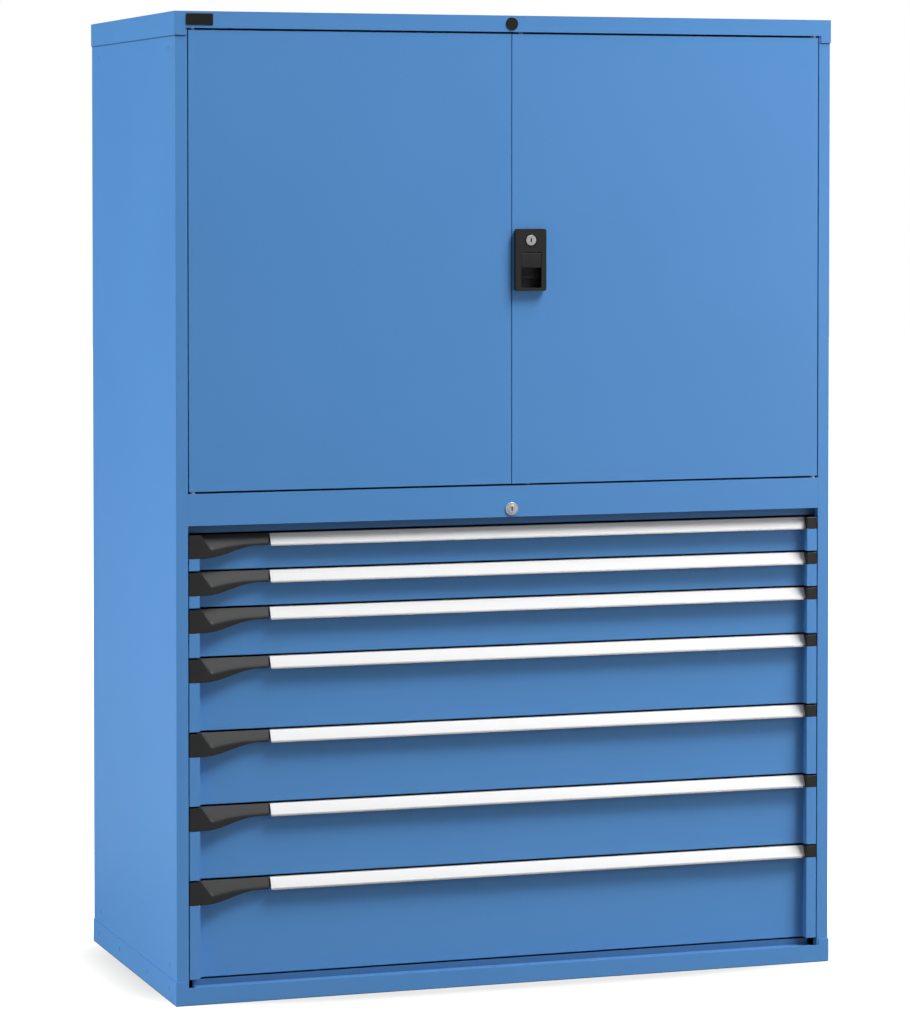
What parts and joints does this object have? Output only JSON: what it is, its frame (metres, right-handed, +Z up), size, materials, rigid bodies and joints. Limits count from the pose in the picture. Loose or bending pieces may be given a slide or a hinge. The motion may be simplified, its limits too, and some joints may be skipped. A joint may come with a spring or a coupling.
{
  "type": "tool cabinet with doors",
  "caption": "Tall sheet-steel tool cabinet: two hinged doors with a paddle lock over a bank of full-width drawers with full-length label handles and side grips.",
  "frame": {"origin": "on the floor, in the middle of the bounding box of the closed cabinet", "axes": "+X to the right as seen from the front, +Y to the back, +Z up"},
  "size_m": [1.431, 0.729, 2],
  "materials": {
    "blue_steel": "fine-textured light blue powder coat",
    "zinc_steel": "zinc-plated sheet and bar",
    "chrome_lock": "polished nickel-chrome plate",
    "black_moulding": "matt charcoal moulded plastic",
    "light_alloy": "satin extruded profile with a white label strip"
  },
  "bodies": {
    "cabinet": {"base_tray": "blue_steel", "left_side": "blue_steel", "right_side": "blue_steel", "back_panel": "blue_steel", "top_cap": "blue_steel", "top_plug": "black_moulding", "badge_plate": "black_moulding", "fascia_rail": "blue_steel", "divider_floor": "blue_steel", "corner_posts": "blue_steel", "shelves": "blue_steel", "shelf_clips": "zinc_steel", "slide_rails": "zinc_steel", "hinge_pins": "zinc_steel", "drawer_lock_body": "chrome_lock"},
    "left_door_leaf": {"left_door": "blue_steel"},
    "right_door_leaf": {"right_door": "blue_steel", "lock_housing": "black_moulding"},
    "paddle": {"lock_paddle": "black_moulding"},
    "key": {"key_cylinder": "chrome_lock"},
    "rotor": {"lock_rotor": "zinc_steel"},
    "upper_lock_rod": {"upper_rod": "zinc_steel"},
    "lower_lock_rod": {"lower_rod": "zinc_steel"},
    "drawer_lock_key": {"drawer_lock_plug": "chrome_lock"},
    "drawer_lock_lift": {"drawer_lock_bar": "zinc_steel"},
    "drawer_1": {"drawer_1_body": "blue_steel", "drawer_1_handle": "light_alloy", "drawer_1_end_cap": "black_moulding"},
    "grip_1": {"drawer_1_grip": "black_moulding"},
    "slide_members_1": {"drawer_1_slides": "zinc_steel"},
    "drawer_2": {"drawer_2_body": "blue_steel", "drawer_2_handle": "light_alloy", "drawer_2_end_cap": "black_moulding"},
    "grip_2": {"drawer_2_grip": "black_moulding"},
    "slide_members_2": {"drawer_2_slides": "zinc_steel"},
    "drawer_3": {"drawer_3_body": "blue_steel", "drawer_3_handle": "light_alloy", "drawer_3_end_cap": "black_moulding"},
    "grip_3": {"drawer_3_grip": "black_moulding"},
    "slide_members_3": {"drawer_3_slides": "zinc_steel"},
    "drawer_4": {"drawer_4_body": "blue_steel", "drawer_4_handle": "light_alloy", "drawer_4_end_cap": "black_moulding"},
    "grip_4": {"drawer_4_grip": "black_moulding"},
    "slide_members_4": {"drawer_4_slides": "zinc_steel"},
    "drawer_5": {"drawer_5_body": "blue_steel", "drawer_5_handle": "light_alloy", "drawer_5_end_cap": "black_moulding"},
    "grip_5": {"drawer_5_grip": "black_moulding"},
    "slide_members_5": {"drawer_5_slides": "zinc_steel"},
    "drawer_6": {"drawer_6_body": "blue_steel", "drawer_6_handle": "light_alloy", "drawer_6_end_cap": "black_moulding"},
    "grip_6": {"drawer_6_grip": "black_moulding"},
    "slide_members_6": {"drawer_6_slides": "zinc_steel"},
    "drawer_7": {"drawer_7_body": "blue_steel", "drawer_7_handle": "light_alloy", "drawer_7_end_cap": "black_moulding"},
    "grip_7": {"drawer_7_grip": "black_moulding"},
    "slide_members_7": {"drawer_7_slides": "zinc_steel"}
  },
  "joints": [
    {"name": "left_door_hinge", "type": "hinge", "parent": "cabinet", "child": "left_door_leaf", "pos_m": [-0.6782, -0.34795, 1.5], "axis": [0, 0, -1], "range_deg": [0, 115]},
    {"name": "right_door_hinge", "type": "hinge", "parent": "cabinet", "child": "right_door_leaf", "pos_m": [0.6782, -0.34795, 1.5], "axis": [0, 0, 1], "range_deg": [0, 115]},
    {"name": "paddle_pull", "type": "hinge", "parent": "right_door_leaf", "child": "paddle", "pos_m": [0.0394, -0.36095, 1.5075], "axis": [-1, 0, 0], "range_deg": [0, 25], "stiffness_Nm_per_rad": 0.3, "springref_deg": -8.59},
    {"name": "key_turn", "type": "hinge", "parent": "right_door_leaf", "child": "key", "pos_m": [0.0389, -0.35395, 1.5381], "axis": [0, 1, 0], "range_deg": [0, 90]},
    {"name": "rotor_turn", "type": "hinge", "parent": "right_door_leaf", "child": "rotor", "pos_m": [0.0319, -0.35395, 1.4955], "axis": [0, 1, 0], "range_deg": [0, 60]},
    {"name": "upper_rod_slide", "type": "slide", "parent": "right_door_leaf", "child": "upper_lock_rod", "axis": [0, 0, 1], "range_m": [0, 0.009]},
    {"name": "lower_rod_slide", "type": "slide", "parent": "right_door_leaf", "child": "lower_lock_rod", "axis": [0, 0, -1], "range_m": [0, 0.009]},
    {"name": "drawer_lock_turn", "type": "hinge", "parent": "cabinet", "child": "drawer_lock_key", "pos_m": [0, -0.35395, 0.9838], "axis": [0, -1, 0], "range_deg": [0, 90]},
    {"name": "drawer_lock_bar_slide", "type": "slide", "parent": "cabinet", "child": "drawer_lock_lift", "axis": [0, 0, 1], "range_m": [0, 0.008]},
    {"name": "drawer_1_slide", "type": "slide", "parent": "cabinet", "child": "drawer_1", "axis": [0, -1, 0], "range_m": [0, 0.6]},
    {"name": "slide_members_1_slide", "type": "slide", "parent": "cabinet", "child": "slide_members_1", "axis": [0, -1, 0], "range_m": [0, 0.3]},
    {"name": "grip_1_pull", "type": "hinge", "parent": "drawer_1", "child": "grip_1", "pos_m": [-0.6, -0.32995, 0.2415], "axis": [-1, 0, 0], "range_deg": [0, 6], "stiffness_Nm_per_rad": 0.5, "springref_deg": -5.73},
    {"name": "drawer_2_slide", "type": "slide", "parent": "cabinet", "child": "drawer_2", "axis": [0, -1, 0], "range_m": [0, 0.6]},
    {"name": "slide_members_2_slide", "type": "slide", "parent": "cabinet", "child": "slide_members_2", "axis": [0, -1, 0], "range_m": [0, 0.3]},
    {"name": "grip_2_pull", "type": "hinge", "parent": "drawer_2", "child": "grip_2", "pos_m": [-0.6, -0.32995, 0.3915], "axis": [-1, 0, 0], "range_deg": [0, 6], "stiffness_Nm_per_rad": 0.5, "springref_deg": -5.73},
    {"name": "drawer_3_slide", "type": "slide", "parent": "cabinet", "child": "drawer_3", "axis": [0, -1, 0], "range_m": [0, 0.6]},
    {"name": "slide_members_3_slide", "type": "slide", "parent": "cabinet", "child": "slide_members_3", "axis": [0, -1, 0], "range_m": [0, 0.3]},
    {"name": "grip_3_pull", "type": "hinge", "parent": "drawer_3", "child": "grip_3", "pos_m": [-0.6, -0.32995, 0.5415], "axis": [-1, 0, 0], "range_deg": [0, 6], "stiffness_Nm_per_rad": 0.5, "springref_deg": -5.73},
    {"name": "drawer_4_slide", "type": "slide", "parent": "cabinet", "child": "drawer_4", "axis": [0, -1, 0], "range_m": [0, 0.6]},
    {"name": "slide_members_4_slide", "type": "slide", "parent": "cabinet", "child": "slide_members_4", "axis": [0, -1, 0], "range_m": [0, 0.3]},
    {"name": "grip_4_pull", "type": "hinge", "parent": "drawer_4", "child": "grip_4", "pos_m": [-0.6, -0.32995, 0.6915], "axis": [-1, 0, 0], "range_deg": [0, 6], "stiffness_Nm_per_rad": 0.5, "springref_deg": -5.73},
    {"name": "drawer_5_slide", "type": "slide", "parent": "cabinet", "child": "drawer_5", "axis": [0, -1, 0], "range_m": [0, 0.6]},
    {"name": "slide_members_5_slide", "type": "slide", "parent": "cabinet", "child": "slide_members_5", "axis": [0, -1, 0], "range_m": [0, 0.3]},
    {"name": "grip_5_pull", "type": "hinge", "parent": "drawer_5", "child": "grip_5", "pos_m": [-0.6, -0.32995, 0.7915], "axis": [-1, 0, 0], "range_deg": [0, 6], "stiffness_Nm_per_rad": 0.5, "springref_deg": -5.73},
    {"name": "drawer_6_slide", "type": "slide", "parent": "cabinet", "child": "drawer_6", "axis": [0, -1, 0], "range_m": [0, 0.6]},
    {"name": "slide_members_6_slide", "type": "slide", "parent": "cabinet", "child": "slide_members_6", "axis": [0, -1, 0], "range_m": [0, 0.3]},
    {"name": "grip_6_pull", "type": "hinge", "parent": "drawer_6", "child": "grip_6", "pos_m": [-0.6, -0.32995, 0.8665], "axis": [-1, 0, 0], "range_deg": [0, 6], "stiffness_Nm_per_rad": 0.5, "springref_deg": -5.73},
    {"name": "drawer_7_slide", "type": "slide", "parent": "cabinet", "child": "drawer_7", "axis": [0, -1, 0], "range_m": [0, 0.6]},
    {"name": "slide_members_7_slide", "type": "slide", "parent": "cabinet", "child": "slide_members_7", "axis": [0, -1, 0], "range_m": [0, 0.3]},
    {"name": "grip_7_pull", "type": "hinge", "parent": "drawer_7", "child": "grip_7", "pos_m": [-0.6, -0.32995, 0.9415], "axis": [-1, 0, 0], "range_deg": [0, 6], "stiffness_Nm_per_rad": 0.5, "springref_deg": -5.73}
  ],
  "couplings": [
    {"joint": "key_turn", "follows": "upper_rod_slide", "rad_per_m": 174.53},
    {"joint": "rotor_turn", "follows": "upper_rod_slide", "rad_per_m": 116.36},
    {"joint": "lower_rod_slide", "follows": "upper_rod_slide", "ratio": 1},
    {"joint": "drawer_lock_turn", "follows": "drawer_lock_bar_slide", "rad_per_m": 196.35},
    {"joint": "slide_members_1_slide", "follows": "drawer_1_slide", "ratio": 0.5},
    {"joint": "slide_members_2_slide", "follows": "drawer_2_slide", "ratio": 0.5},
    {"joint": "slide_members_3_slide", "follows": "drawer_3_slide", "ratio": 0.5},
    {"joint": "slide_members_4_slide", "follows": "drawer_4_slide", "ratio": 0.5},
    {"joint": "slide_members_5_slide", "follows": "drawer_5_slide", "ratio": 0.5},
    {"joint": "slide_members_6_slide", "follows": "drawer_6_slide", "ratio": 0.5},
    {"joint": "slide_members_7_slide", "follows": "drawer_7_slide", "ratio": 0.5}
  ]
}
